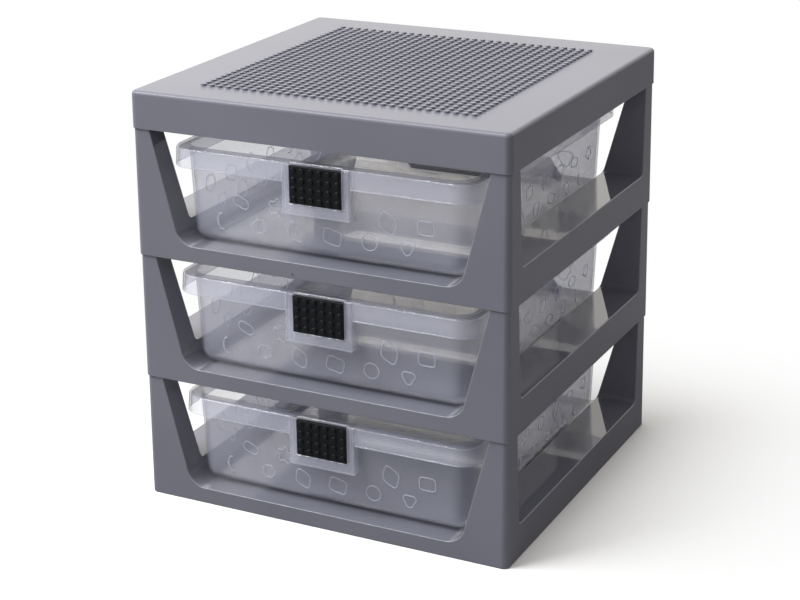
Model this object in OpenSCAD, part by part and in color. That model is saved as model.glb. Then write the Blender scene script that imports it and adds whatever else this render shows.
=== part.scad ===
// A stacking drawer unit: three open frame tiers under a studded cover,
// each tier carrying one clear tub drawer with a studded plate as its handle.
// The front faces -Y, and z = 0 is the surface that the unit stands on.

/* [Housing] */
// Width of a post at its head, from the drawer bay to the outer side face
post_w = 16; // [13:0.1:30]
// Depth of a post at the sill, from the side window to the front or back face
post_d = 25; // [18:0.5:35]
// Distance from a drawer's rim to the front and the back face of the housing
rim_inset = 4; // [3:0.5:10]
// Free height above a drawer's rim, up to the foot of the moulding above
headroom = 14.1; // [8:0.1:30]
// Wall thickness of the grey mouldings
wall = 2.4; // [1.8:0.1:3]
// Radius of the upright outer corners
corner_r = 6; // [5:0.5:12]
// How far the outer walls lean in between the foot and the head of a tier
draft = 1.2; // [0.8:0.1:1.8]
// Height of the spigot on each post that enters the moulding above
spigot_h = 6; // [4:0.5:8]
// Gap round a spigot inside the moulding above
spigot_gap = 0.25; // [0.1:0.05:0.5]
// Thickness of the ribs under the shelves and the cover
rib_t = 1.8; // [1.2:0.1:2.4]
// Depth of the ribs under a shelf
shelf_rib_h = 5; // [3:0.5:8]
// Spacing of the ribs under the shelves and the cover
rib_pitch = 80; // [50:5:110]

/* [Drawer bays] */
// Height of the shelf surface above the foot of its tier
shelf_h = 14; // [12:0.5:18]
// Outward lean of the bay walls from upright, in degrees
bay_lean = 14.6; // [9:0.1:20]
// How much the radius in the bay's lower corners exceeds that of the tub
bay_r_gap = 5; // [3:0.5:8]
// Height of the side sills above the foot of a tier
sill_h = 30; // [24:0.5:45]
// Lean of a side window's ends from upright, in degrees
window_lean = 2.6; // [0:0.1:4]
// Radius of a side window's lower corners
window_r = 4.5; // [2:0.5:10]
// Width of the low stop that stands at the back of each shelf
stop_w = 180; // [60:5:200]
// Height of the stop above the shelf
stop_h = 5; // [3:0.5:8]

/* [Cover] */
// Height of the cover's flat top above the foot of its skirt
cover_h = 32; // [20:0.5:60]
// Radius of the cover's top edges
cover_edge_r = 3.5; // [2:0.5:5]
// How far the skirt leans in over its height
cover_draft = 0.4; // [0.2:0.1:1]
// Depth of the ribs under the cover
cover_rib_h = 6; // [3:0.5:10]
// Number of studs along each side of the square stud field
field_n = 32; // [8:1:34]

/* [Studs] */
// Distance between stud centres, on the cover and the handle plates
stud_pitch = 8; // [7:0.1:8.2]
// Diameter of a stud
stud_d = 4.8; // [4:0.1:5.5]
// Height of a stud
stud_h = 1.7; // [1.2:0.1:2.2]

/* [Drawers] */
// Width of a drawer over the lower edge of its rim band
rim_w = 282; // [250:1:400]
// Length of a drawer over the lower edge of its rim band
rim_l = 320; // [280:1:400]
// Radius of the rim band's corners
rim_r = 20; // [17:0.5:26]
// Height of the rim band
rim_h = 16.5; // [12:0.5:22]
// How far the rim band spreads between its top and its lower edge
rim_flare = 1; // [0.4:0.1:1.5]
// Radius that rounds the top edge of the rim band
rim_edge_r = 1.5; // [1:0.1:1.7]
// Width of the rim from the tub's mouth to the band's lower edge
rim_ledge = 9; // [8:0.5:12]
// Height of a drawer from its base to its rim
drawer_h = 83; // [72:0.5:140]
// Wall thickness of a drawer
tub_wall = 1.8; // [1.4:0.1:2]
// How far the tub's walls lean in between the mouth and the base
tub_draft = 3; // [2:0.5:5]
// Radius of the tub's upright corners at the base
tub_corner_r = 15; // [14:0.5:20]
// Radius along the tub's lower edges
tub_edge_r = 13; // [9:0.5:14]
// Gap between the base of a drawer and its shelf
slide_gap = 0.4; // [0.3:0.1:0.8]
// Gap between the back of a closed drawer and the stop
stop_gap = 0.6; // [0.4:0.1:1.5]

/* [Handles] */
// Studs across a handle plate
plate_nx = 6; // [4:1:8]
// Studs down a handle plate
plate_nz = 4; // [3:1:4]
// Thickness of a handle plate without its studs
plate_t = 3.2; // [2.8:0.1:3.6]
// Thickness of a handle plate's face and of its edge walls
plate_skin = 1.4; // [1:0.1:1.6]
// Gap between a handle plate and the pocket that holds it
plate_gap = 0.15; // [0.05:0.05:0.3]
// Width of the bracket beside the plate
bracket_side = 6.8; // [4:0.1:9]
// Height of the bracket below the plate
bracket_foot = 9.5; // [6:0.5:12]
// Depth of the plate's upper edge below the rim
plate_drop = 2; // [1:0.5:4]
// Thickness of the bracket's webs
bracket_web = 1.6; // [1.2:0.1:2]
// Gap between the pad in the pocket and the hollow back of the plate
pad_gap = 0.2; // [0.1:0.05:0.4]

/* [Hidden] */
grey = [0.43, 0.44, 0.48];
milky = [0.86, 0.87, 0.92, 0.55];
near_black = [0.07, 0.07, 0.08];
eps = 0.01;
arc_fn = 64;
blend_fn = 32;
stud_fn = 24;
sides = [-1, 1];

// A drawer's own sizes count from its base
drawer_lift = shelf_h + slide_gap;
rim_foot = drawer_h - rim_h;
tub_w = rim_w - 2 * rim_ledge;
tub_l = rim_l - 2 * rim_ledge;
tub_edge_x = tub_w / 2 - tub_draft - tub_edge_r;

// The tiers are built round the drawers, and the bay's lower corners are
// rounded about points that lie as far from the middle as the tub's do
tier_pitch = drawer_lift + drawer_h + headroom;
bay_r = tub_edge_r + bay_r_gap;
bay_rise = tier_pitch - shelf_h - bay_r;
bay_head_x = tub_edge_x + bay_r / cos(bay_lean) + bay_rise * tan(bay_lean);
case_w = 2 * (bay_head_x + post_w + draft);
case_d = rim_l + 2 * rim_inset;
window_edge_y = case_d / 2 - post_d;
window_y = window_edge_y + window_r * tan(window_lean) - window_r / cos(window_lean);
far = 2 * max(case_w, case_d);

// Feet of the tiers and of the cover
lower_z = 0;
middle_z = tier_pitch;
upper_z = 2 * tier_pitch;
cover_z = 3 * tier_pitch;

// The spigots stand inside the moulding above, and are hollow like the posts
spigot_inset = wall + spigot_gap;
spigot_core_inset = spigot_inset + wall;
spigot_top = tier_pitch + spigot_h;
shelf_under = shelf_h - wall;

// The stop meets the rounding under the tub's back wall at the stop's own top
stop_drop = tub_edge_r + slide_gap - stop_h;
stop_y = tub_l / 2 - tub_draft - tub_edge_r + sqrt(tub_edge_r ^ 2 - stop_drop ^ 2) + stop_gap;

// The handle plate stands in a pocket in the bracket's face
face_y = -rim_l / 2;
pocket_y = face_y + plate_t;
pocket_w = plate_nx * stud_pitch;
pocket_h = plate_nz * stud_pitch;
pocket_z = drawer_h - plate_drop - pocket_h;
plate_w = pocket_w - 2 * plate_gap;
plate_h = pocket_h - 2 * plate_gap;
bracket_w = pocket_w + 2 * bracket_side;
bracket_z = pocket_z - bracket_foot;
pad_inset = plate_gap + plate_skin + pad_gap;

// A rounded rectangle about the origin, of true arcs and straight lines
module round_rect(w, d, r, fn = arc_fn) {
    square([w - 2 * r, d], center = true);
    square([w, d - 2 * r], center = true);
    for (sx = sides, sy = sides)
        translate([sx * (w / 2 - r), sy * (d / 2 - r)])
            circle(r = r, $fn = fn);
}

// One thin section of a blended shape: the w by d outline, drawn in by inset
module section(w, d, r, inset, z) {
    translate([0, 0, z])
        linear_extrude(eps)
            round_rect(w - 2 * inset, d - 2 * inset, max(r - inset, 0.5), blend_fn);
}

// A slot with an open top and ends that lean outwards, its lower corners rounded
// about centre_x. Grown, it has its floor and its ends moved out by that much.
module open_slot(centre_x, floor_z, r, lean, grow) {
    big_r = r + grow;
    centre_z = floor_z + r;
    top_z = spigot_top + 2 * wall;
    top_x = centre_x + big_r / cos(lean) + (top_z - centre_z) * tan(lean);
    touch = [centre_x + big_r * cos(lean), centre_z - big_r * sin(lean)];
    polygon([
        [-centre_x, centre_z - big_r], [centre_x, centre_z - big_r],
        touch, [top_x, top_z], [-top_x, top_z], [-touch[0], touch[1]]
    ]);
    for (s = sides)
        translate([s * centre_x, centre_z])
            circle(r = big_r, $fn = arc_fn);
}

// The drawer bay, front to back
module bay(grow = 0) {
    rotate([90, 0, 0])
        linear_extrude(far, center = true)
            open_slot(tub_edge_x, shelf_h, bay_r, bay_lean, grow);
}

// The two side windows, as one cut from left to right
module windows(grow = 0) {
    rotate([90, 0, 90])
        linear_extrude(far, center = true)
            open_slot(window_y, sill_h, window_r, window_lean, grow);
}

// The frame's outer form: leaning walls, and the spigots' outline on top
module frame_form() {
    hull() {
        section(case_w, case_d, corner_r, 0, 0);
        section(case_w, case_d, corner_r, draft, tier_pitch - eps);
    }
    translate([0, 0, tier_pitch - wall])
        linear_extrude(spigot_h + wall)
            round_rect(case_w - 2 * spigot_inset, case_d - 2 * spigot_inset,
                       max(corner_r - spigot_inset, 0.5));
}

// The hollow that leaves every wall of the frame one thickness, open below
module frame_core() {
    difference() {
        union() {
            hull() {
                section(case_w, case_d, corner_r, wall, -eps);
                section(case_w, case_d, corner_r, draft + wall, tier_pitch - wall);
            }
            translate([0, 0, tier_pitch - 2 * wall])
                linear_extrude(spigot_h + wall)
                    round_rect(case_w - 2 * spigot_core_inset,
                               case_d - 2 * spigot_core_inset,
                               max(corner_r - spigot_core_inset, 0.5));
        }
        bay(wall);
        windows(wall);
    }
}

// A lattice of upright ribs that hangs under a flat panel, down from top_z
module ribs(top_z, depth) {
    across = floor(tub_edge_x / rib_pitch);
    along = floor(window_edge_y / rib_pitch);
    for (k = [-across : across])
        translate([k * rib_pitch, 0, top_z - depth / 2])
            cube([rib_t, case_d - wall, depth], center = true);
    for (k = [-along : along])
        translate([0, k * rib_pitch, top_z - depth / 2])
            cube([case_w - wall, rib_t, depth], center = true);
}

// The low upstand across the back of a shelf that a closed drawer rests against
module stop() {
    root = wall / 2;
    translate([-stop_w / 2, stop_y, shelf_h - root])
        cube([stop_w, wall, stop_h + root]);
}

// One tier: four hollow posts, a shelf between them, sills and spigots
module frame() {
    color(grey) {
        difference() {
            frame_form();
            bay();
            windows();
            frame_core();
        }
        ribs(shelf_under + wall / 2, shelf_rib_h + wall / 2);
        stop();
    }
}

module lower_frame() {
    translate([0, 0, lower_z])
        frame();
}

module middle_frame() {
    translate([0, 0, middle_z])
        frame();
}

module upper_frame() {
    translate([0, 0, upper_z])
        frame();
}

// The cover's form, drawn in by t: a leaning skirt under rounded top edges
module cover_form(t, foot_z) {
    edge_r = cover_edge_r - t / 2;
    hull() {
        section(case_w, case_d, corner_r, t, foot_z);
        for (a = [0 : 22.5 : 90])
            section(case_w, case_d, corner_r,
                    t + cover_draft + edge_r * (1 - cos(a)),
                    cover_h - t - edge_r * (1 - sin(a)) - eps);
    }
}

// The square field of studs on the cover
module stud_field() {
    first = -(field_n - 1) / 2 * stud_pitch;
    root = wall / 2;
    for (i = [0 : field_n - 1], j = [0 : field_n - 1])
        translate([first + i * stud_pitch, first + j * stud_pitch, cover_h - root])
            cylinder(d = stud_d, h = stud_h + root, $fn = stud_fn);
}

module top_cover() {
    color(grey)
        translate([0, 0, cover_z]) {
            difference() {
                cover_form(0, 0);
                cover_form(wall, -eps);
            }
            ribs(cover_h - wall / 2, cover_rib_h + wall / 2);
            stud_field();
        }
}

// The tub's form, drawn in by t, with its mouth at mouth_z
module tub_form(t, mouth_z) {
    edge_r = tub_edge_r - t;
    hull() {
        for (a = [0 : 15 : 90])
            section(tub_w, tub_l, tub_corner_r + tub_draft,
                    tub_draft + t + edge_r * (1 - sin(a)),
                    t + edge_r * (1 - cos(a)));
        section(tub_w, tub_l, tub_corner_r + tub_draft, t, mouth_z);
    }
}

// The rim band's outer form, rounded along its top edge
module rim_form() {
    hull() {
        section(rim_w, rim_l, rim_r, 0, rim_foot);
        for (a = [0 : 30 : 90])
            section(rim_w, rim_l, rim_r,
                    rim_flare + rim_edge_r * (1 - cos(a)),
                    drawer_h - rim_edge_r * (1 - sin(a)) - eps);
    }
}

// The space under the rim, between its band and the tub
module rim_hollow() {
    hull() {
        section(rim_w, rim_l, rim_r, tub_wall, rim_foot - eps);
        section(rim_w, rim_l, rim_r, tub_wall + rim_flare, drawer_h - tub_wall - eps);
    }
}

// A box that is centred on x, from y0 to y1 and from z0 to z1
module centred_box(w, y0, y1, z0, z1) {
    translate([-w / 2, y0, z0])
        cube([w, y1 - y0, z1 - z0]);
}

// The bracket's block, from its face back into the tub's wall
module bracket_block() {
    centred_box(bracket_w, face_y, -tub_l / 2 + tub_draft + tub_wall / 2,
                bracket_z, drawer_h - rim_edge_r / 2);
}

// The bracket's hollow, open below, round the tray that its pocket makes
module bracket_hollow() {
    difference() {
        centred_box(bracket_w - 2 * bracket_web, face_y + tub_wall, -tub_l / 2 + rim_ledge,
                    bracket_z - eps, drawer_h - tub_wall);
        centred_box(pocket_w + 2 * bracket_web, face_y, pocket_y + tub_wall,
                    pocket_z - bracket_web, drawer_h);
    }
}

// The pad in the pocket that enters the hollow back of the handle plate
module pocket_pad() {
    centred_box(pocket_w - 2 * pad_inset, face_y + plate_skin + pad_gap,
                pocket_y + tub_wall / 2,
                pocket_z + pad_inset, pocket_z + pocket_h - pad_inset);
}

// One drawer: a tub with a turned-down rim, and a bracket with a pocket in front
module drawer() {
    difference() {
        union() {
            tub_form(0, drawer_h - eps);
            rim_form();
            bracket_block();
        }
        tub_form(tub_wall, drawer_h);
        difference() {
            union() {
                difference() {
                    rim_hollow();
                    bracket_block();
                }
                bracket_hollow();
            }
            tub_form(0, drawer_h - eps);
        }
        centred_box(pocket_w, face_y - eps, pocket_y, pocket_z, drawer_h + eps);
    }
    pocket_pad();
}

module lower_drawer() {
    color(milky)
        translate([0, 0, lower_z + drawer_lift])
            drawer();
}

module middle_drawer() {
    color(milky)
        translate([0, 0, middle_z + drawer_lift])
            drawer();
}

module upper_drawer() {
    color(milky)
        translate([0, 0, upper_z + drawer_lift])
            drawer();
}

// One handle plate: a thin box, open at the back, with studs on its face
module handle_plate() {
    plate_z = pocket_z + plate_gap;
    color(near_black) {
        difference() {
            centred_box(plate_w, face_y, pocket_y, plate_z, plate_z + plate_h);
            centred_box(plate_w - 2 * plate_skin, face_y + plate_skin, pocket_y + eps,
                        plate_z + plate_skin, plate_z + plate_h - plate_skin);
        }
        for (i = [0 : plate_nx - 1], k = [0 : plate_nz - 1])
            translate([(i - (plate_nx - 1) / 2) * stud_pitch, face_y + plate_skin / 2,
                       pocket_z + (k + 0.5) * stud_pitch])
                rotate([90, 0, 0])
                    cylinder(d = stud_d, h = stud_h + plate_skin / 2, $fn = stud_fn);
    }
}

module lower_handle_plate() {
    translate([0, 0, lower_z + drawer_lift])
        handle_plate();
}

module middle_handle_plate() {
    translate([0, 0, middle_z + drawer_lift])
        handle_plate();
}

module upper_handle_plate() {
    translate([0, 0, upper_z + drawer_lift])
        handle_plate();
}

top_cover();
upper_frame();
middle_frame();
lower_frame();
upper_drawer();
middle_drawer();
lower_drawer();
upper_handle_plate();
middle_handle_plate();
lower_handle_plate();
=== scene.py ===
import math

import bpy
import numpy as np
from mathutils import Matrix, Vector


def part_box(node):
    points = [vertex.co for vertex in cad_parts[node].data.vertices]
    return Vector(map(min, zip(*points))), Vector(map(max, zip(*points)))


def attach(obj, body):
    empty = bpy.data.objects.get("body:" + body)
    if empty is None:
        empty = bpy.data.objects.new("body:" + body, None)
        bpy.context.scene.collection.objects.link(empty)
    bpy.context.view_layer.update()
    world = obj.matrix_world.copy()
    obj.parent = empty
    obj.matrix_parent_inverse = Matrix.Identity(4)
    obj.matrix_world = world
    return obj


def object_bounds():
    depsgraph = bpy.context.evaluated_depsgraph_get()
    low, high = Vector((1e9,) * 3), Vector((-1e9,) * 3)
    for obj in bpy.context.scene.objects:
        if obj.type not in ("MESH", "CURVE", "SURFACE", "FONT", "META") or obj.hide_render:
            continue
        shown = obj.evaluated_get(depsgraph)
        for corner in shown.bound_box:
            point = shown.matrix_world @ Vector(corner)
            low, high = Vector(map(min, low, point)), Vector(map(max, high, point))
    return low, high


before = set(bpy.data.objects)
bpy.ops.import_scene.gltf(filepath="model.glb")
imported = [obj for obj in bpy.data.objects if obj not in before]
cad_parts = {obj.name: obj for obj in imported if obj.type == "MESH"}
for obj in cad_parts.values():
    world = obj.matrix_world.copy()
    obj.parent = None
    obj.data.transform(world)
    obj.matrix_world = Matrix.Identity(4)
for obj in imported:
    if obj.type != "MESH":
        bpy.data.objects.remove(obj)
cad_low, cad_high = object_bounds()

# ---------------------------------------------------------------- the tiers and the cover
# Three open tiers and a studded cover, each one grey polypropylene moulding. The tiers stack on
# spigots at their posts and need no screws. Their outer faces have a fine satin texture, and the
# shelves, sills and inner faces of the posts are polished by the mould.
TIERS = ("lower_frame", "middle_frame", "upper_frame")
COVER = "top_cover"
GREY = (0.150, 0.155, 0.190, 1)
GREY_MOTTLE = 0.05
SATIN_ROUGH = 0.34
POLISHED_ROUGH = 0.03
ROUGH_MOTTLE = 0.01
SATIN_GRAIN = 0.12
SATIN_GLOSS = 0.25
POLISHED_GLOSS = 0.45
# A side, front or back face is satin where it looks squarely outwards and stands less than the
# satin's depth inside the unit's box. The top is satin down to a depth below its studs.
SATIN_DEPTH, SATIN_TOP_DEPTH = 0.0019, 0.0037
SQUARELY = 0.8
# The paler grey below and its share are a painted highlight along the edges that lie below the
# top, standing in for the bright lines that these edges catch from the key light.
EDGE_HIGHLIGHT_GREY = (0.42, 0.42, 0.46, 1)
EDGE_HIGHLIGHT_SHARE = 0.75
# A soft noise runs about its middle, 0.5. These are the stretches of it that a mottle uses.
WIDE_MOTTLE = (0.3, 0.7)
MIDDLE_MOTTLE = (0.35, 0.65)
SEAM_ANGLE = math.radians(32)
WELD_GAP = 0.00003
FRAME_BREAK = 0.0005
GATE_MARK = (-0.021, -0.164, 0.2267)
GATE_MARK_RADIUS = 0.0011
GATE_MARK_CORE = 0.6
GATE_MARK_DEPTH = 0.8
GATE_BLACK = (0.02, 0.02, 0.025, 1)
EDGE_SAMPLES = 6
EDGE_GAIN = 6.0
GRAIN_HEIGHT = 0.0002


def link(tree, a, b):
    """Joins the output socket a to the input socket b in that tree."""
    tree.links.new(a, b)


def noise(tree, detail, roughness):
    """Adds a noise texture with that much detail and roughness of detail."""
    made = tree.nodes.new("ShaderNodeTexNoise")
    made.inputs["Detail"].default_value = detail
    made.inputs["Roughness"].default_value = roughness
    return made


def maths(tree, operation, a, b=0.0, clamp=False):
    """Adds a Math node. a and b are numbers or output sockets. Returns its result."""
    made = tree.nodes.new("ShaderNodeMath")
    made.operation = operation
    made.use_clamp = clamp
    for socket, value in zip(made.inputs, (a, b)):
        if isinstance(value, (int, float)):
            socket.default_value = value
        else:
            link(tree, value, socket)
    return made.outputs[0]


def welded_smooth():
    """Geometry nodes: joins the loose triangles of a moulding, shades it smooth, and keeps every
    edge sharp whose two faces meet at more than SEAM_ANGLE."""
    tree = bpy.data.node_groups.new("welded_smooth", "GeometryNodeTree")
    tree.interface.new_socket("Geometry", in_out="INPUT", socket_type="NodeSocketGeometry")
    tree.interface.new_socket("Geometry", in_out="OUTPUT", socket_type="NodeSocketGeometry")
    start = tree.nodes.new("NodeGroupInput")
    end = tree.nodes.new("NodeGroupOutput")
    weld = tree.nodes.new("GeometryNodeMergeByDistance")
    weld.inputs["Distance"].default_value = WELD_GAP
    faces = tree.nodes.new("GeometryNodeSetShadeSmooth")
    faces.domain = "FACE"
    faces.inputs["Shade Smooth"].default_value = True
    angle = tree.nodes.new("GeometryNodeInputMeshEdgeAngle")
    sharp = tree.nodes.new("FunctionNodeCompare")
    sharp.operation = "GREATER_THAN"
    sharp.inputs["B"].default_value = SEAM_ANGLE
    edges = tree.nodes.new("GeometryNodeSetShadeSmooth")
    edges.domain = "EDGE"
    edges.inputs["Shade Smooth"].default_value = False
    link(tree, start.outputs[0], weld.inputs["Geometry"])
    link(tree, weld.outputs["Geometry"], faces.inputs["Geometry"])
    link(tree, angle.outputs["Unsigned Angle"], sharp.inputs["A"])
    link(tree, sharp.outputs["Result"], edges.inputs["Selection"])
    link(tree, faces.outputs["Geometry"], edges.inputs["Geometry"])
    link(tree, edges.outputs["Geometry"], end.inputs[0])
    return tree


WELDED_SMOOTH = welded_smooth()


def dress(name, material, edge_break=0.0):
    """Gives a moulding its material and its smooth shading, and breaks its sharp edges by that
    much, as the mould does."""
    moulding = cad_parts[name]
    moulding.data.materials.clear()
    moulding.data.materials.append(material)
    moulding.modifiers.new("welded", "NODES").node_group = WELDED_SMOOTH
    if edge_break:
        broken = moulding.modifiers.new("edge_break", "BEVEL")
        broken.width = edge_break
        broken.segments = 1
        broken.limit_method = "ANGLE"
        broken.angle_limit = SEAM_ANGLE
        broken.use_clamp_overlap = False
        moulding.modifiers.new("smoothed", "NODES").node_group = WELDED_SMOOTH
    flat = moulding.modifiers.new("flat_faces", "WEIGHTED_NORMAL")
    flat.keep_sharp = True


def moulded_skin():
    """Shader group: the skin of a moulding. Gives a soft mottle, a mask along its edges, and a
    normal that rounds those edges and carries the fine grain of the surface."""
    tree = bpy.data.node_groups.new("moulded_skin", "ShaderNodeTree")
    for name in ("Grain Scale", "Grain Depth", "Edge Radius", "Mottle Scale"):
        tree.interface.new_socket(name, in_out="INPUT", socket_type="NodeSocketFloat")
    for name, kind in (("Mottle", "NodeSocketFloat"), ("Edge", "NodeSocketFloat"),
                       ("Normal", "NodeSocketVector")):
        tree.interface.new_socket(name, in_out="OUTPUT", socket_type=kind)
    start = tree.nodes.new("NodeGroupInput")
    end = tree.nodes.new("NodeGroupOutput")
    place = tree.nodes.new("ShaderNodeTexCoord")
    mottle = noise(tree, detail=3, roughness=0.5)
    grain = noise(tree, detail=2, roughness=0.6)
    edge = tree.nodes.new("ShaderNodeBevel")
    edge.samples = EDGE_SAMPLES
    bump = tree.nodes.new("ShaderNodeBump")
    bump.inputs["Distance"].default_value = GRAIN_HEIGHT
    facing = tree.nodes.new("ShaderNodeVectorMath")
    facing.operation = "DOT_PRODUCT"
    flat = tree.nodes.new("ShaderNodeNewGeometry")
    for texture, scale in ((mottle, "Mottle Scale"), (grain, "Grain Scale")):
        link(tree, place.outputs["Object"], texture.inputs["Vector"])
        link(tree, start.outputs[scale], texture.inputs["Scale"])
    link(tree, start.outputs["Edge Radius"], edge.inputs["Radius"])
    link(tree, edge.outputs["Normal"], bump.inputs["Normal"])
    link(tree, start.outputs["Grain Depth"], bump.inputs["Strength"])
    link(tree, grain.outputs["Fac"], bump.inputs["Height"])
    link(tree, edge.outputs["Normal"], facing.inputs[0])
    link(tree, flat.outputs["Normal"], facing.inputs[1])
    turned = maths(tree, "SUBTRACT", 1.0, facing.outputs["Value"])
    link(tree, maths(tree, "MULTIPLY", turned, EDGE_GAIN, clamp=True), end.inputs["Edge"])
    link(tree, mottle.outputs["Fac"], end.inputs["Mottle"])
    link(tree, bump.outputs["Normal"], end.inputs["Normal"])
    return tree


MOULDED_SKIN = moulded_skin()


def skin(tree, **values):
    """Places the moulded skin in a material, with its own values."""
    made = tree.nodes.new("ShaderNodeGroup")
    made.node_tree = MOULDED_SKIN
    for name, value in values.items():
        made.inputs[name.replace("_", " ").title()].default_value = value
    return made


def new_material(name):
    """An empty node material, its tree and its Principled BSDF."""
    material = bpy.data.materials.new(name)
    material.use_nodes = True
    return material, material.node_tree, material.node_tree.nodes["Principled BSDF"]


def span(tree, value, low, high, to_low, to_high):
    """Maps a value from low..high to to_low..to_high, held at both ends."""
    made = tree.nodes.new("ShaderNodeMapRange")
    made.inputs["From Min"].default_value = low
    made.inputs["From Max"].default_value = high
    made.inputs["To Min"].default_value = to_low
    made.inputs["To Max"].default_value = to_high
    link(tree, value, made.inputs["Value"])
    return made.outputs["Result"]


def tint(tree, low, high, factor):
    """Mixes two colours by a factor between 0 and 1. Either may be an output socket. The node's
    sockets 6 and 7 and its output 2 are the ones for colours."""
    made = tree.nodes.new("ShaderNodeMix")
    made.data_type = "RGBA"
    for socket, value in ((made.inputs[6], low), (made.inputs[7], high)):
        if isinstance(value, tuple):
            socket.default_value = value
        else:
            link(tree, value, socket)
    link(tree, factor, made.inputs[0])
    return made.outputs[2]


def housing_grey():
    """Grey polypropylene: satin on the outer faces of the housing, polished inside, with a painted
    highlight of paler grey along its edges below the top.
    """
    material, tree, bsdf = new_material("housing_grey")
    surface = skin(tree, grain_scale=700.0, edge_radius=0.0007, mottle_scale=7.0)
    place = tree.nodes.new("ShaderNodeTexCoord")
    at = tree.nodes.new("ShaderNodeSeparateXYZ")
    way = tree.nodes.new("ShaderNodeSeparateXYZ")
    link(tree, place.outputs["Object"], at.inputs[0])
    link(tree, place.outputs["Normal"], way.inputs[0])
    outside = []
    for axis, reach in zip("XY", cad_high):
        far = maths(tree, "ABSOLUTE", at.outputs[axis])
        facing = maths(tree, "ABSOLUTE", way.outputs[axis])
        outside.append(maths(tree, "MULTIPLY",
                             maths(tree, "GREATER_THAN", far, float(reach) - SATIN_DEPTH),
                             maths(tree, "GREATER_THAN", facing, SQUARELY)))
    top = maths(tree, "GREATER_THAN", at.outputs["Z"], float(cad_high[2]) - SATIN_TOP_DEPTH)
    outer = maths(tree, "MAXIMUM", maths(tree, "MAXIMUM", *outside), top)
    link(tree, maths(tree, "MULTIPLY", outer, SATIN_GRAIN), surface.inputs["Grain Depth"])
    link(tree, span(tree, outer, 0, 1, POLISHED_GLOSS, SATIN_GLOSS),
         bsdf.inputs["Specular IOR Level"])
    rough = maths(tree, "ADD", POLISHED_ROUGH,
                  maths(tree, "MULTIPLY", outer, SATIN_ROUGH - POLISHED_ROUGH))
    mottle = surface.outputs["Mottle"]
    rough = maths(tree, "ADD", rough,
                  span(tree, mottle, *WIDE_MOTTLE, -ROUGH_MOTTLE, ROUGH_MOTTLE))
    link(tree, rough, bsdf.inputs["Roughness"])
    away = tree.nodes.new("ShaderNodeVectorMath")
    away.operation = "DISTANCE"
    away.inputs[1].default_value = GATE_MARK
    link(tree, place.outputs["Object"], away.inputs[0])
    mark = span(tree, away.outputs["Value"], GATE_MARK_RADIUS * GATE_MARK_CORE, GATE_MARK_RADIUS,
                GATE_MARK_DEPTH, 0)
    darker = tuple(c * (1 - GREY_MOTTLE) for c in GREY[:3]) + (1,)
    lighter = tuple(c * (1 + GREY_MOTTLE) for c in GREY[:3]) + (1,)
    body = tint(tree, darker, lighter, span(tree, mottle, *MIDDLE_MOTTLE, 0, 1))
    # Painted highlight: the edges below the top are tinted towards the paler grey.
    painted_edge_highlight = maths(tree, "MULTIPLY", surface.outputs["Edge"], span(tree, top, 0, 1, EDGE_HIGHLIGHT_SHARE, 0))
    body = tint(tree, body, EDGE_HIGHLIGHT_GREY, painted_edge_highlight)
    link(tree, tint(tree, body, GATE_BLACK, mark), bsdf.inputs["Base Color"])
    link(tree, surface.outputs["Normal"], bsdf.inputs["Normal"])
    return material


HOUSING_GREY = housing_grey()
for tier in TIERS:
    dress(tier, HOUSING_GREY, FRAME_BREAK)
dress(COVER, HOUSING_GREY)


# A low tab stands up in the middle of each tier's back, moulded in one with its outer wall. It is
# as high as the side sills, with ends that lean in, and stops a drawer from leaving at the back.
TAB_FOOT = 0.083
TAB_LEAN = 0.66
TAB_HEIGHT = 0.016
TAB_THICK = 0.0024
TAB_ROOT = 0.0008
TAB_FILLET = 0.003
TAB_ROWS = 17
TAB_COLUMNS = 25
TAB_CROWDING = 1.5
TAB_BREAK = 0.0006
TAB_BREAK_STEPS = 2
SHELF_RISE = 0.014
BACK_FACE = 0.16395
WALL_DRAFT, TIER_PITCH = 0.0012, 0.1115
BACK_DRAFT = WALL_DRAFT / TIER_PITCH


def mesh_piece(name, points, faces, material):
    """A smooth object at the origin from arrays of points and four-cornered faces."""
    data = bpy.data.meshes.new(name)
    data.vertices.add(len(points))
    data.vertices.foreach_set("co", points.ravel())
    data.loops.add(faces.size)
    data.loops.foreach_set("vertex_index", faces.ravel())
    data.polygons.add(len(faces))
    data.polygons.foreach_set("loop_start", np.arange(len(faces)) * 4)
    data.polygons.foreach_set("loop_total", np.full(len(faces), 4))
    data.polygons.foreach_set("use_smooth", np.ones(len(faces), bool))
    data.update(calc_edges=True)
    data.validate()
    made = bpy.data.objects.new(name, data)
    bpy.context.scene.collection.objects.link(made)
    data.materials.append(material)
    return made


def back_tab(base):
    """The outer face of a tab as a grid, whose rows crowd towards the foot. At each height the
    half width is the foot's, less the lean times the height, plus a fillet that follows a
    quarter circle at the foot. The face leans in with the wall's draft."""
    along, up = np.meshgrid(np.linspace(1, -1, TAB_COLUMNS),
                            np.linspace(0, 1, TAB_ROWS) ** TAB_CROWDING)
    height = up * (TAB_HEIGHT + TAB_ROOT) - TAB_ROOT
    low = np.clip(1 - height / TAB_FILLET, 0, 1)
    half = TAB_FOOT - TAB_LEAN * height + TAB_FILLET * (1 - np.sqrt(1 - low ** 2))
    rise = SHELF_RISE + height
    points = np.stack((along * half, BACK_FACE - rise * BACK_DRAFT, base + rise), axis=-1)
    row, column = np.meshgrid(range(TAB_ROWS - 1), range(TAB_COLUMNS - 1), indexing="ij")
    corner = row * TAB_COLUMNS + column
    faces = np.stack((corner, corner + 1, corner + TAB_COLUMNS + 1, corner + TAB_COLUMNS), axis=-1)
    return points.reshape(-1, 3), faces.reshape(-1, 4)


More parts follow.
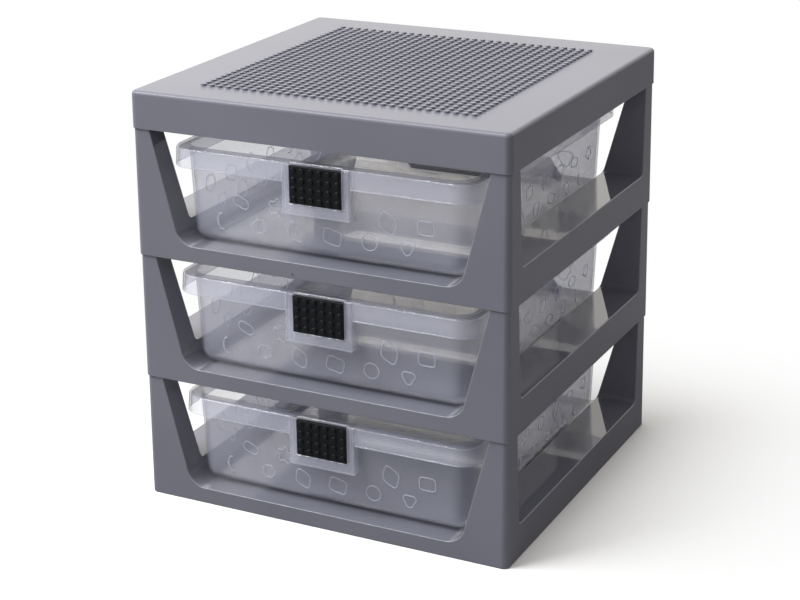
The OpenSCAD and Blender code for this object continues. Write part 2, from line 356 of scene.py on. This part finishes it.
for tier in TIERS:
    tab = mesh_piece(tier + "_back_tab", *back_tab(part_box(tier)[0][2]), HOUSING_GREY)
    wall = tab.modifiers.new("wall", "SOLIDIFY")
    wall.thickness = TAB_THICK
    wall.offset = -1
    broken = tab.modifiers.new("edge_break", "BEVEL")
    broken.width = TAB_BREAK
    broken.segments = TAB_BREAK_STEPS
    broken.limit_method = "ANGLE"
    broken.angle_limit = SEAM_ANGLE
    tab.modifiers.new("smoothed", "NODES").node_group = WELDED_SMOOTH
    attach(tab, "housing")

# ---------------------------------------------------------------- the drawers
# Three like tubs, each one moulding of milky translucent polypropylene with a turned-down rim and
# a bracket for its handle. They lie loose on their shelves and slide out of the front.
DRAWERS = {"lower_drawer": "drawer_lower", "middle_drawer": "drawer_middle",
           "upper_drawer": "drawer_upper"}
MILKY = (0.80, 0.83, 1.0, 1)
# The whiter colour and the higher share of milk along the edges are partly the plastic's own milk
# and partly a painted highlight along the rims and the bracket.
EDGE_MILK_AND_HIGHLIGHT = (0.94, 0.95, 0.98, 1)
WALL_ALPHA = 0.20
EDGE_MILK_AND_HIGHLIGHT_ALPHA = 0.70
GLANCE_ALPHA = 0.03
CLOUD_ALPHA = 0.006
CLEAR_ROUGH = 0.015
BODY_ROUGH = 0.3
LIT_THROUGH = 0.4
CLEAR_EDGE_RADIUS = 0.0009
CLEAR_MOTTLE_SCALE = 16.0
MIRROR_FACING = 0.04
MIRROR_CURVE = 4.4
DRAWER_BREAK = 0.0004


def blend_shader(tree, share, one, other):
    """Mixes two shaders. share is the part of the second, a number or an output socket."""
    made = tree.nodes.new("ShaderNodeMixShader")
    if isinstance(share, float):
        made.inputs[0].default_value = share
    else:
        link(tree, share, made.inputs[0])
    link(tree, one.outputs[0], made.inputs[1])
    link(tree, other.outputs[0], made.inputs[2])
    return made


def drawer_clear(name, thin, edge_milk_and_highlight, facing, rough):
    """Translucent polypropylene: a milky body that is clear enough to see through and glows with
    the light behind it, milkier at a glancing view, and whiter and milkier along its edges, which
    is partly the plastic's own milk and partly a painted highlight, under a glossy skin that
    mirrors more at a glancing view. thin is the share of milk on a wall and
    edge_milk_and_highlight the share along an edge, and facing is the share that it mirrors head
    on."""
    material, tree, bsdf = new_material(name)
    surface = skin(tree, edge_radius=CLEAR_EDGE_RADIUS, mottle_scale=CLEAR_MOTTLE_SCALE)
    glance = tree.nodes.new("ShaderNodeLayerWeight")
    glance.inputs["Blend"].default_value = 0.5
    slant = glance.outputs["Facing"]
    cloud = span(tree, surface.outputs["Mottle"], *WIDE_MOTTLE, thin - CLOUD_ALPHA,
                 thin + CLOUD_ALPHA)
    veil = maths(tree, "ADD", maths(tree, "MULTIPLY", slant, GLANCE_ALPHA), cloud)
    # Along the edges the plastic is whiter and less clear: partly its own milk, partly a painted
    # highlight.
    rim = maths(tree, "MULTIPLY", surface.outputs["Edge"], edge_milk_and_highlight - thin)
    solid = maths(tree, "ADD", veil, rim, clamp=True)
    milk = tint(tree, MILKY, EDGE_MILK_AND_HIGHLIGHT, surface.outputs["Edge"])
    link(tree, milk, bsdf.inputs["Base Color"])
    bsdf.inputs["Roughness"].default_value = BODY_ROUGH
    bsdf.inputs["Specular IOR Level"].default_value = 0
    link(tree, surface.outputs["Normal"], bsdf.inputs["Normal"])
    glow = tree.nodes.new("ShaderNodeBsdfTranslucent")
    link(tree, milk, glow.inputs["Color"])
    clear = tree.nodes.new("ShaderNodeBsdfTransparent")
    body = blend_shader(tree, solid, clear, blend_shader(tree, LIT_THROUGH, bsdf, glow))
    mirror = tree.nodes.new("ShaderNodeBsdfGlossy")
    mirror.inputs["Roughness"].default_value = rough
    share = maths(tree, "MULTIPLY", maths(tree, "POWER", slant, MIRROR_CURVE), 1 - facing)
    glazed = blend_shader(tree, maths(tree, "ADD", share, facing), body, mirror)
    link(tree, glazed.outputs[0], tree.nodes["Material Output"].inputs["Surface"])
    return material


DRAWER_CLEAR = drawer_clear("drawer_clear", WALL_ALPHA, EDGE_MILK_AND_HIGHLIGHT_ALPHA, MIRROR_FACING, CLEAR_ROUGH)
for drawer in DRAWERS:
    dress(drawer, DRAWER_CLEAR, DRAWER_BREAK)

# ---------------------------------------------------------------- the raised motifs
# Small outlines, such as flowers, rings and kites, stand out of the four walls of each tub. They
# are moulded in one with it, as thin beads that show as pale lines.
BEAD_FOOT, BEAD_CREST = 0.0009, 0.00054
BEAD_PROUD, BEAD_SUNK = 0.0003, 0.0002
# The bead's section: how far sideways and how far proud of the wall each corner is
BEAD_PROFILE = ((-BEAD_FOOT / 2, -BEAD_SUNK), (-BEAD_CREST / 2, BEAD_PROUD),
                (BEAD_CREST / 2, BEAD_PROUD), (BEAD_FOOT / 2, -BEAD_SUNK))
BEAD_ALPHA = 0.45
BEAD_SHINE = 0.08
BEAD_ROUGH = 0.4
OUTLINE_POINTS = 60
MOON_FOLD, MOON_HOLLOW, MOON_SQUEEZE = -0.2, -0.4, 0.45
MOTIF_SIZE = 0.0072
MOTIF_ROWS = (0.021, 0.040)
MOTIF_PITCH = 0.034
MOTIF_SHIFT = 0.5
MOTIF_STRIDE = 3
# How far a motif's turn and size vary, and how fast from one motif to the next
TURN_RANGE, TURN_STEP = 0.5, 2.3
SIZE_RANGE, SIZE_STEP = 0.12, 1.7
TUB_SLOPE = 3 / 70
TUB_EDGE_RISE = 0.013
TUB_HALF_WIDTH, TUB_HALF_LENGTH = 0.129, 0.148
BRACKET_CLEAR = 0.042
# Each wall of a tub: which way it faces, how far out it stands, the motifs in a row, and how much
# of its middle the upper row leaves clear
TUB_WALLS = (((-1, 0, 0), TUB_HALF_WIDTH, 7, 0),
             ((1, 0, 0), TUB_HALF_WIDTH, 7, 0),
             ((0, 1, 0), TUB_HALF_LENGTH, 6, 0),
             ((0, -1, 0), TUB_HALF_LENGTH, 6, BRACKET_CLEAR))


def lobed(lobes, depth):
    """A closed outline of unit size: at each angle its reach is 1, swelled by depth times the
    cosine of the angle times the number of lobes."""
    angle = np.linspace(0, 2 * math.pi, OUTLINE_POINTS, endpoint=False)
    reach = (1 + depth * np.cos(lobes * angle)) / (1 + depth)
    return np.stack((reach * np.cos(angle), reach * np.sin(angle)), axis=1)


def cushioned(power, tall):
    """A closed outline of unit size: the cosine and the sine of each angle, each raised to a
    power with its sign kept, and the second stretched to the height tall."""
    angle = np.linspace(0, 2 * math.pi, OUTLINE_POINTS, endpoint=False)
    x, y = np.cos(angle), np.sin(angle)
    return np.stack((np.sign(x) * abs(x) ** power, tall * np.sign(y) * abs(y) ** power), axis=1)


def crescent():
    """A closed outline of unit size: a circle whose points right of a line are squeezed and
    folded back to the left of it, which makes the moon's inner curve."""
    angle = np.linspace(0, 2 * math.pi, OUTLINE_POINTS, endpoint=False)
    x, y = np.cos(angle), np.sin(angle)
    return np.stack((np.where(x > MOON_FOLD, MOON_HOLLOW - MOON_SQUEEZE * x, x), y), axis=1)


OUTLINES = (lobed(5, 0.22), cushioned(1.5, 1.3), lobed(3, 0.16), crescent(), cushioned(0.4, 0.8),
            lobed(2, 0.3), lobed(8, 0.08), cushioned(1.0, 1.0))


def wall_outlines(count, first, clear):
    """The outlines on one wall as rows of flat points (motif, point, 2): two rows, the upper one
    half a pitch along, with the motifs taken in turn from OUTLINES. The turn and the size of a
    motif vary with the sine of its number. The upper row leaves the middle of the wall clear to
    that distance."""
    made = []
    for k in range(2 * count):
        row, column = divmod(k, count)
        turn = TURN_RANGE * math.sin(TURN_STEP * k + first)
        size = MOTIF_SIZE * (1 + SIZE_RANGE * math.sin(SIZE_STEP * k + first))
        spin = np.array(((math.cos(turn), math.sin(turn)), (-math.sin(turn), math.cos(turn))))
        across = (column - (count - 1) / 2 + MOTIF_SHIFT * (row - 0.5)) * MOTIF_PITCH
        if row == 0 or abs(across) >= clear:
            outline = OUTLINES[(k * MOTIF_STRIDE + first) % len(OUTLINES)]
            made.append(outline @ spin * size + (across, MOTIF_ROWS[row]))
    return np.array(made)


def beads(outlines, out, reach, base):
    """Carries a low bead along each outline on a wall. A point is the outline's point, moved
    aside and proud by the bead's profile, and then set on the wall: outwards by the wall's reach
    and slope, and up from the drawer's base."""
    ahead = np.roll(outlines, -1, axis=1) - np.roll(outlines, 1, axis=1)
    ahead /= np.linalg.norm(ahead, axis=2, keepdims=True)
    aside = np.stack((ahead[..., 1], -ahead[..., 0]), axis=2)
    sideways, proud = np.array(BEAD_PROFILE).T
    flat = outlines[:, :, None, :] + aside[:, :, None, :] * sideways[:, None]
    out = np.array(out, float)
    along = np.cross((0, 0, 1), out)
    away = reach + (flat[..., 1:] - TUB_EDGE_RISE) * TUB_SLOPE + proud[:, None]
    return (out * away + along * flat[..., :1]
            + np.array((0, 0, 1)) * (base + flat[..., 1:])).reshape(-1, 3)


def ring_faces(motifs, points, sides):
    """Four-cornered faces over closed tubes: each joins a point of the profile with the next one,
    here and one step further along the outline."""
    m, p, s = np.meshgrid(range(motifs), range(points), range(sides), indexing="ij")

    def at(step, side):
        """The number of the point that many steps along and sides round."""
        return (m * points + (p + step) % points) * sides + (s + side) % sides

    return np.stack((at(0, 0), at(1, 0), at(1, 1), at(0, 1)), axis=-1).reshape(-1, 4)


BEAD_CLEAR = drawer_clear("bead_clear", BEAD_ALPHA, BEAD_ALPHA, BEAD_SHINE, BEAD_ROUGH)
for drawer, body in DRAWERS.items():
    base_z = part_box(drawer)[0][2]
    raised = []
    motif_count = 0
    for first, (out, reach, count, clear) in enumerate(TUB_WALLS):
        layout = wall_outlines(count, first, clear)
        raised.append(beads(layout, out, reach, base_z))
        motif_count += len(layout)
    rings = ring_faces(motif_count, OUTLINE_POINTS, len(BEAD_PROFILE))
    motifs = mesh_piece(drawer + "_motifs", np.concatenate(raised), rings, BEAD_CLEAR)
    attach(motifs, body)

# ---------------------------------------------------------------- the handle plates
# Three like plates of glossy black ABS with six by four studs. Each is pressed into the pocket in
# its drawer's bracket, and fingers grip it to pull the drawer.
PLATES = ("lower_handle_plate", "middle_handle_plate", "upper_handle_plate")
BLACK = (0.006, 0.007, 0.009, 1)
# A paler black painted along the rounded edges as a painted highlight on the studs and the plate's
# rims.
EDGE_HIGHLIGHT_BLACK = (0.03, 0.03, 0.034, 1)
PLATE_ROUGH = (0.24, 0.36)
PLATE_MOTTLE = (0.35, 0.7)
PLATE_GLOSS = 0.14
PLATE_BREAK = 0.0002


def handle_black():
    """Black ABS: glossy with faint scuffs, and with a painted highlight of paler black along its
    rounded edges.
    """
    material, tree, bsdf = new_material("handle_black")
    surface = skin(tree, grain_scale=900.0, grain_depth=0.08, edge_radius=0.0003,
                   mottle_scale=40.0)
    scuff = span(tree, surface.outputs["Mottle"], *PLATE_MOTTLE, *PLATE_ROUGH)
    link(tree, scuff, bsdf.inputs["Roughness"])
    # Painted highlight: the rounded edges are tinted towards the paler black.
    highlit_edge_black = tint(tree, BLACK, EDGE_HIGHLIGHT_BLACK, surface.outputs["Edge"])
    link(tree, highlit_edge_black, bsdf.inputs["Base Color"])
    bsdf.inputs["Specular IOR Level"].default_value = PLATE_GLOSS
    link(tree, surface.outputs["Normal"], bsdf.inputs["Normal"])
    return material


HANDLE_BLACK = handle_black()
for plate in PLATES:
    dress(plate, HANDLE_BLACK, PLATE_BREAK)

# ---------------------------------------------------------------- the studio
# A white floor that keeps the unit's shadow, white surroundings, a large soft key light from the
# front left, and the camera at the photograph's angle.
CAMERA_AT = (0.71539, -1.43582, 0.74149)
CAMERA_YAW, CAMERA_PITCH, CAMERA_ROLL = (math.radians(a) for a in (-27.4, 19.4, -0.87))
FOCAL_PX, FRAME_PX = 1900, 800
SENSOR_MM = 36.0
SHIFT = (0.03, -0.03)
NEAREST, FURTHEST = 0.05, 100
KEY_AT, KEY_TOWARDS = (-1.15, -0.92, 2.05), (0, 0, 0.15)
KEY_SIZE, KEY_POWER = 1.4, 86
FLOOR_SIZE = 40.0
FLOOR_DROP = 0.0002
# The surroundings brighten towards the bright side: between these cosines, by these strengths
BRIGHT_SIDE = (-0.70, 0.35, 0.62)
EVEN_SPAN = (-0.7, 0.8)
EVEN_LIGHT = (0.44, 0.64)
MIRRORED_SPAN = (-0.6, 0.5)
MIRRORED_LIGHT = (0.15, 1.7)
BACKDROP = 1.7
STUDIO_WHITE = (1, 0.965, 0.915, 1)
FOOTPRINT = tuple(cad_high)
SHADOW_FADE = 0.085
# The paper's colour for the camera, and the darker one for the light that it gives back
PAPER_SEEN = (0.95, 0.95, 0.955, 1)
PAPER_LIT = (0.30, 0.30, 0.305, 1)
PAPER_ROUGH = 0.6
PAPER_GLOSS = 0.1


def camera():
    """A camera that looks along its yaw and pitch, turned by its roll."""
    data = bpy.data.cameras.new("camera")
    data.sensor_width = SENSOR_MM
    data.lens = FOCAL_PX * SENSOR_MM / FRAME_PX
    data.shift_x, data.shift_y = SHIFT
    data.clip_start, data.clip_end = NEAREST, FURTHEST
    made = bpy.data.objects.new("camera", data)
    bpy.context.scene.collection.objects.link(made)
    yaw, pitch, roll = CAMERA_YAW, CAMERA_PITCH, CAMERA_ROLL
    ahead = Vector((math.sin(yaw) * math.cos(pitch), math.cos(yaw) * math.cos(pitch),
                    -math.sin(pitch)))
    right = Vector((math.cos(yaw), -math.sin(yaw), 0))
    up = right.cross(ahead)
    right, up = (right * math.cos(roll) + up * math.sin(roll),
                 up * math.cos(roll) - right * math.sin(roll))
    turn = Matrix((right, up, -ahead)).transposed().to_4x4()
    made.matrix_world = Matrix.Translation(CAMERA_AT) @ turn
    bpy.context.scene.camera = made


def key_light():
    """A large square soft box at the front left, above the unit and pointed at it."""
    data = bpy.data.lights.new("key", "AREA")
    data.shape = "SQUARE"
    data.size = KEY_SIZE
    data.energy = KEY_POWER
    made = bpy.data.objects.new("key", data)
    bpy.context.scene.collection.objects.link(made)
    made.location = KEY_AT
    ahead = Vector(KEY_TOWARDS) - Vector(KEY_AT)
    made.rotation_euler = ahead.to_track_quat("-Z", "Y").to_euler()


def surroundings():
    """White for the camera and through clear plastic, a soft even light, and for reflections a
    stronger change from dark to bright. The last two brighten towards the bright side."""
    world = bpy.data.worlds.new("studio")
    world.use_nodes = True
    tree = world.node_tree
    background = tree.nodes["Background"]
    path = tree.nodes.new("ShaderNodeLightPath")
    place = tree.nodes.new("ShaderNodeTexCoord")
    towards = tree.nodes.new("ShaderNodeVectorMath")
    towards.operation = "DOT_PRODUCT"
    towards.inputs[1].default_value = Vector(BRIGHT_SIDE).normalized()
    link(tree, place.outputs["Generated"], towards.inputs[0])
    even = span(tree, towards.outputs["Value"], *EVEN_SPAN, *EVEN_LIGHT)
    mirrored = span(tree, towards.outputs["Value"], *MIRRORED_SPAN, *MIRRORED_LIGHT)
    glossy = path.outputs["Is Glossy Ray"]
    lit = maths(tree, "ADD", maths(tree, "MULTIPLY", glossy, mirrored),
                maths(tree, "MULTIPLY", maths(tree, "SUBTRACT", 1.0, glossy), even))
    white = maths(tree, "MAXIMUM", path.outputs["Is Camera Ray"],
                  path.outputs["Is Transmission Ray"])
    white = maths(tree, "MULTIPLY", white, BACKDROP)
    link(tree, maths(tree, "MAXIMUM", white, lit), background.inputs["Strength"])
    background.inputs["Color"].default_value = STUDIO_WHITE
    bpy.context.scene.world = world


def floor():
    """A white floor. By the unit it is lit paper that keeps the shadow. The paper fades to plain
    white for the camera: the paper's share is the exponential of minus the distance beyond the
    unit's footprint over the fade's length."""
    data = bpy.data.meshes.new("floor")
    half = FLOOR_SIZE / 2
    data.from_pydata([(-half, -half, 0), (half, -half, 0), (half, half, 0), (-half, half, 0)],
                     [], [(0, 1, 2, 3)])
    made = bpy.data.objects.new("floor", data)
    bpy.context.scene.collection.objects.link(made)
    made.location.z = -FLOOR_DROP
    material, tree, bsdf = new_material("floor_white")
    bsdf.inputs["Roughness"].default_value = PAPER_ROUGH
    bsdf.inputs["Specular IOR Level"].default_value = PAPER_GLOSS
    path = tree.nodes.new("ShaderNodeLightPath")
    paper = tint(tree, PAPER_LIT, PAPER_SEEN, path.outputs["Is Camera Ray"])
    link(tree, paper, bsdf.inputs["Base Color"])
    place = tree.nodes.new("ShaderNodeTexCoord")
    beyond = place.outputs["Object"]
    for operation, other in (("ABSOLUTE", None), ("SUBTRACT", FOOTPRINT), ("MAXIMUM", (0, 0, 0)),
                             ("LENGTH", None)):
        step = tree.nodes.new("ShaderNodeVectorMath")
        step.operation = operation
        link(tree, beyond, step.inputs[0])
        if other:
            step.inputs[1].default_value = other
        beyond = step.outputs["Value" if operation == "LENGTH" else "Vector"]
    kept = maths(tree, "EXPONENT", maths(tree, "MULTIPLY", beyond, -1 / SHADOW_FADE))
    seen = maths(tree, "MULTIPLY", maths(tree, "SUBTRACT", 1.0, kept),
                 path.outputs["Is Camera Ray"])
    plain = blend_shader(tree, seen, bsdf, tree.nodes.new("ShaderNodeEmission"))
    link(tree, plain.outputs[0], tree.nodes["Material Output"].inputs["Surface"])
    data.materials.append(material)


camera()
surroundings()
floor()
key_light()
bpy.context.scene.view_settings.view_transform = "Standard"
